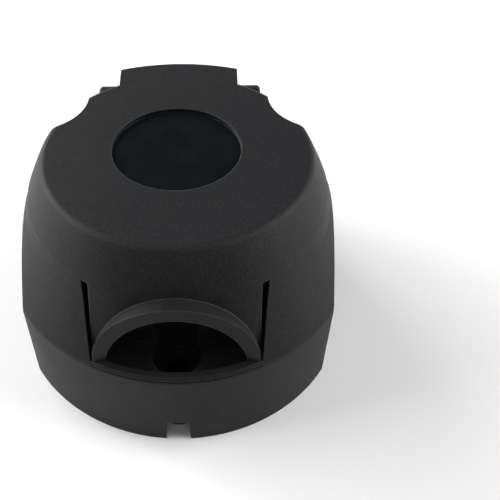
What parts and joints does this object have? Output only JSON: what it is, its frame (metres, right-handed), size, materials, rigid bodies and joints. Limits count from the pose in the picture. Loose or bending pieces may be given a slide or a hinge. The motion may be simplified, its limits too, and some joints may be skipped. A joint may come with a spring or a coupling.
{
  "type": "trailer wiring connector",
  "caption": "Vehicle-side trailer socket with a spring flip lid, a round plug mouth, a brass contact insert and an open wiring chamber behind.",
  "frame": {"origin": "centre of the mounting face, in the plane of the rear rim", "axes": "+Z out of the plug mouth towards the lid, +Y towards the hinge, +X to the right seen from the front"},
  "size_m": [0.0734, 0.0864, 0.055],
  "materials": {
    "housing_plastic": "fine spark-eroded texture",
    "lid_plastic": "fine spark-eroded texture",
    "insert_plastic": "smooth moulded",
    "seal_rubber": "soft matte",
    "contact_brass": "turned",
    "screw_steel": "zinc plated",
    "spring_steel": "drawn wire"
  },
  "bodies": {
    "base": {"housing": "housing_plastic", "mouth_tube": "housing_plastic", "screw_bosses": "housing_plastic", "hinge_pin": "screw_steel", "lid_spring": "spring_steel", "contact_carrier": "insert_plastic", "contact_1": "contact_brass", "contact_2": "contact_brass", "contact_3": "contact_brass", "contact_4": "contact_brass", "contact_5": "contact_brass", "contact_6": "contact_brass", "contact_7": "contact_brass", "contact_8": "contact_brass", "contact_9": "contact_brass", "contact_10": "contact_brass", "contact_11": "contact_brass", "contact_12": "contact_brass", "contact_13": "contact_brass", "clamp_screws": "screw_steel"},
    "lid": {"lid": "lid_plastic", "lid_seal": "seal_rubber"}
  },
  "joints": [
    {"name": "lid_hinge", "type": "hinge", "parent": "base", "child": "lid", "pos_m": [0, 0.0344, 0.0416], "axis": [-1, 0, 0], "range_deg": [0, 105], "stiffness_Nm_per_rad": 0.05, "springref_deg": -85.94, "deforming": ["lid_spring"]}
  ]
}
